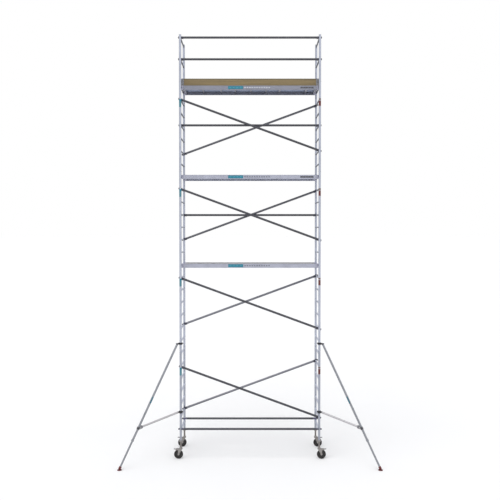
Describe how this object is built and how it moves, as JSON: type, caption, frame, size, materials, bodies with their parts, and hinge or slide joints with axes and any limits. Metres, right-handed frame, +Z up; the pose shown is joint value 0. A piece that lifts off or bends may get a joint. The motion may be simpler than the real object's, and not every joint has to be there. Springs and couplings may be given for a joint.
{
  "type": "mobile tower scaffold",
  "caption": "Tall mobile aluminium scaffold tower on braked castors, with stacked ladder frames, braces, hatch platforms, guard rails, toe boards and stabilisers.",
  "frame": {"origin": "on the floor, in the middle of the tower's whole footprint with its stabilisers", "axes": "+X along the tower's length, +Y from the guard-rail side to the wall side, +Z up"},
  "size_m": [5.5596, 1.5936, 9.27],
  "materials": {
    "frame_metal": "satin, bluish grey",
    "brace_metal": "satin, dark grey",
    "beam_metal": "satin extrusion",
    "stabiliser_metal": "satin, mid grey",
    "zinc": "zinc plated",
    "tyre": "matt, black brown",
    "pedal_paint": "satin",
    "deck_ply": "phenolic-faced plywood",
    "toe_ply": "sealed plywood",
    "foot_rubber": "matt"
  },
  "bodies": {
    "tower": {"base_rail_far": "brace_metal", "base_rail_near": "brace_metal", "deck_1": "deck_ply", "deck_2": "deck_ply", "deck_3": "deck_ply", "diagonal_1_far": "brace_metal", "diagonal_1_near": "brace_metal", "diagonal_2_far": "brace_metal", "diagonal_2_near": "brace_metal", "diagonal_3_far": "brace_metal", "diagonal_3_near": "brace_metal", "diagonal_4_far": "brace_metal", "diagonal_4_near": "brace_metal", "end_frame_1_left": "frame_metal", "end_frame_1_right": "frame_metal", "end_frame_2_left": "frame_metal", "end_frame_2_right": "frame_metal", "end_frame_3_left": "frame_metal", "end_frame_3_right": "frame_metal", "end_frame_4_left": "frame_metal", "end_frame_4_right": "frame_metal", "guard_frame_left": "frame_metal", "guard_frame_right": "frame_metal", "guard_rail": "brace_metal", "knee_rail": "brace_metal", "level_3_rail_far": "brace_metal", "level_4_rail_near": "brace_metal", "platform_frame_1": "beam_metal", "platform_frame_2": "beam_metal", "platform_frame_3": "beam_metal", "toe_board_left": "toe_ply", "toe_board_near": "toe_ply", "toe_board_right": "toe_ply"},
    "leg_near_left": {"adjustable_leg_near_left": "zinc"},
    "castor_near_left": {"castor_fork_near_left": "zinc"},
    "wheel_near_left": {"castor_wheel_near_left": "tyre"},
    "pedal_near_left": {"brake_pedal_near_left": "pedal_paint"},
    "leg_far_left": {"adjustable_leg_far_left": "zinc"},
    "castor_far_left": {"castor_fork_far_left": "zinc"},
    "wheel_far_left": {"castor_wheel_far_left": "tyre"},
    "pedal_far_left": {"brake_pedal_far_left": "pedal_paint"},
    "leg_near_right": {"adjustable_leg_near_right": "zinc"},
    "castor_near_right": {"castor_fork_near_right": "zinc"},
    "wheel_near_right": {"castor_wheel_near_right": "tyre"},
    "pedal_near_right": {"brake_pedal_near_right": "pedal_paint"},
    "leg_far_right": {"adjustable_leg_far_right": "zinc"},
    "castor_far_right": {"castor_fork_far_right": "zinc"},
    "wheel_far_right": {"castor_wheel_far_right": "tyre"},
    "pedal_far_right": {"brake_pedal_far_right": "pedal_paint"},
    "hatch_panel_1": {"hatch_1": "deck_ply"},
    "hatch_panel_2": {"hatch_2": "deck_ply"},
    "hatch_panel_3": {"hatch_3": "deck_ply"},
    "stabiliser_left": {"stabiliser_leg_left": "stabiliser_metal", "stabiliser_strut_left": "stabiliser_metal"},
    "stabiliser_lower_left": {"stabiliser_inner_tube_left": "stabiliser_metal", "stabiliser_foot_left": "foot_rubber"},
    "stabiliser_right": {"stabiliser_leg_right": "stabiliser_metal", "stabiliser_strut_right": "stabiliser_metal"},
    "stabiliser_lower_right": {"stabiliser_inner_tube_right": "stabiliser_metal", "stabiliser_foot_right": "foot_rubber"}
  },
  "joints": [
    {"name": "leg_slide_near_left", "type": "slide", "parent": "tower", "child": "leg_near_left", "axis": [0, 0, -1], "range_m": [0, 0.25]},
    {"name": "castor_swivel_near_left", "type": "hinge", "parent": "leg_near_left", "child": "castor_near_left", "pos_m": [-1.5195, -0.04821, 0.2], "axis": [0, 0, 1], "continuous": true},
    {"name": "wheel_spin_near_left", "type": "hinge", "parent": "castor_near_left", "child": "wheel_near_left", "pos_m": [-1.5695, -0.04821, 0.09877], "axis": [0, 1, 0], "continuous": true},
    {"name": "brake_press_near_left", "type": "hinge", "parent": "castor_near_left", "child": "pedal_near_left", "pos_m": [-1.6195, -0.04821, 0.2035], "axis": [0, -1, 0], "range_deg": [0, 20]},
    {"name": "leg_slide_far_left", "type": "slide", "parent": "tower", "child": "leg_far_left", "axis": [0, 0, -1], "range_m": [0, 0.25]},
    {"name": "castor_swivel_far_left", "type": "hinge", "parent": "leg_far_left", "child": "castor_far_left", "pos_m": [-1.5195, 0.75179, 0.2], "axis": [0, 0, 1], "continuous": true},
    {"name": "wheel_spin_far_left", "type": "hinge", "parent": "castor_far_left", "child": "wheel_far_left", "pos_m": [-1.5695, 0.75179, 0.09877], "axis": [0, 1, 0], "continuous": true},
    {"name": "brake_press_far_left", "type": "hinge", "parent": "castor_far_left", "child": "pedal_far_left", "pos_m": [-1.6195, 0.75179, 0.2035], "axis": [0, -1, 0], "range_deg": [0, 20]},
    {"name": "leg_slide_near_right", "type": "slide", "parent": "tower", "child": "leg_near_right", "axis": [0, 0, -1], "range_m": [0, 0.25]},
    {"name": "castor_swivel_near_right", "type": "hinge", "parent": "leg_near_right", "child": "castor_near_right", "pos_m": [1.5195, -0.04821, 0.2], "axis": [0, 0, 1], "continuous": true},
    {"name": "wheel_spin_near_right", "type": "hinge", "parent": "castor_near_right", "child": "wheel_near_right", "pos_m": [1.5695, -0.04821, 0.09877], "axis": [0, 1, 0], "continuous": true},
    {"name": "brake_press_near_right", "type": "hinge", "parent": "castor_near_right", "child": "pedal_near_right", "pos_m": [1.6195, -0.04821, 0.2035], "axis": [0, 1, 0], "range_deg": [0, 20]},
    {"name": "leg_slide_far_right", "type": "slide", "parent": "tower", "child": "leg_far_right", "axis": [0, 0, -1], "range_m": [0, 0.25]},
    {"name": "castor_swivel_far_right", "type": "hinge", "parent": "leg_far_right", "child": "castor_far_right", "pos_m": [1.5195, 0.75179, 0.2], "axis": [0, 0, 1], "continuous": true},
    {"name": "wheel_spin_far_right", "type": "hinge", "parent": "castor_far_right", "child": "wheel_far_right", "pos_m": [1.5695, 0.75179, 0.09877], "axis": [0, 1, 0], "continuous": true},
    {"name": "brake_press_far_right", "type": "hinge", "parent": "castor_far_right", "child": "pedal_far_right", "pos_m": [1.6195, 0.75179, 0.2035], "axis": [0, 1, 0], "range_deg": [0, 20]},
    {"name": "hatch_swing_1", "type": "hinge", "parent": "tower", "child": "hatch_panel_1", "pos_m": [-0.96, 0.12604, 4.2843], "axis": [1, 0, 0], "range_deg": [0, 95]},
    {"name": "hatch_swing_2", "type": "hinge", "parent": "tower", "child": "hatch_panel_2", "pos_m": [0.96, 0.57754, 6.2373], "axis": [-1, 0, 0], "range_deg": [0, 95]},
    {"name": "hatch_swing_3", "type": "hinge", "parent": "tower", "child": "hatch_panel_3", "pos_m": [0.96, 0.57754, 8.1903], "axis": [-1, 0, 0], "range_deg": [0, 95]},
    {"name": "stabiliser_swing_left", "type": "hinge", "parent": "tower", "child": "stabiliser_left", "pos_m": [-1.5195, -0.04821, 1.8], "axis": [0, 0, 1], "range_deg": [-25, 55]},
    {"name": "stabiliser_extend_left", "type": "slide", "parent": "stabiliser_left", "child": "stabiliser_lower_left", "axis": [-0.4037, -0.2331, -0.8847], "range_m": [0, 0.4]},
    {"name": "stabiliser_swing_right", "type": "hinge", "parent": "tower", "child": "stabiliser_right", "pos_m": [1.5195, -0.04821, 1.8], "axis": [0, 0, -1], "range_deg": [-25, 55]},
    {"name": "stabiliser_extend_right", "type": "slide", "parent": "stabiliser_right", "child": "stabiliser_lower_right", "axis": [0.4037, -0.2331, -0.8847], "range_m": [0, 0.4]}
  ]
}
